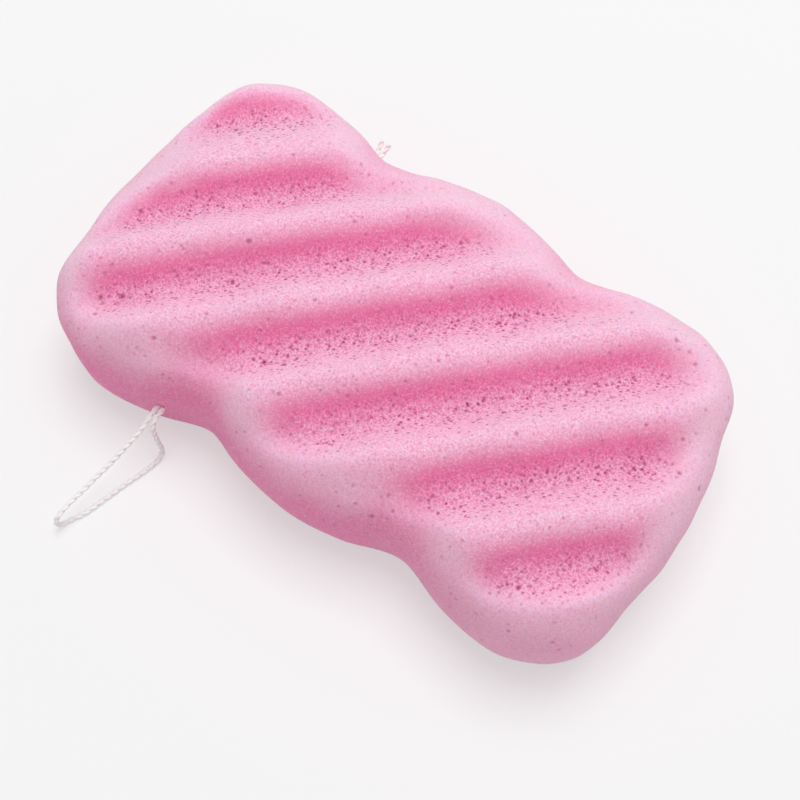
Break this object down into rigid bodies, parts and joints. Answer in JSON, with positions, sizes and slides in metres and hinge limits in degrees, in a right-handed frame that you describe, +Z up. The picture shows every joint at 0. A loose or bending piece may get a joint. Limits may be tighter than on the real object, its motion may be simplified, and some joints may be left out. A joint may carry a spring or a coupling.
{
  "type": "konjac sponge",
  "caption": "Oblong foam bath sponge with wavy long sides, slanting waves on its top face, a flat underside and a knotted cotton hanging loop through it.",
  "frame": {"origin": "middle of the flat base of the foam block, measured without the hanging string", "axes": "+Z up from the base through the waves, X along the length of the block, the free loop leaves towards -Y"},
  "size_m": [0.1301, 0.1031, 0.034],
  "materials": {
    "foam": "soft matt open-cell foam",
    "string": "twisted cotton"
  },
  "bodies": {
    "sponge": {"sponge_body": "foam"},
    "string": {"string_loop": "string", "string_run": "string", "string_knot": "string", "string_tails": "string"}
  },
  "joints": [
    {"name": "string_slide", "type": "slide", "parent": "sponge", "child": "string", "axis": [0, 1, 0], "range_m": [0, 0.003]}
  ]
}
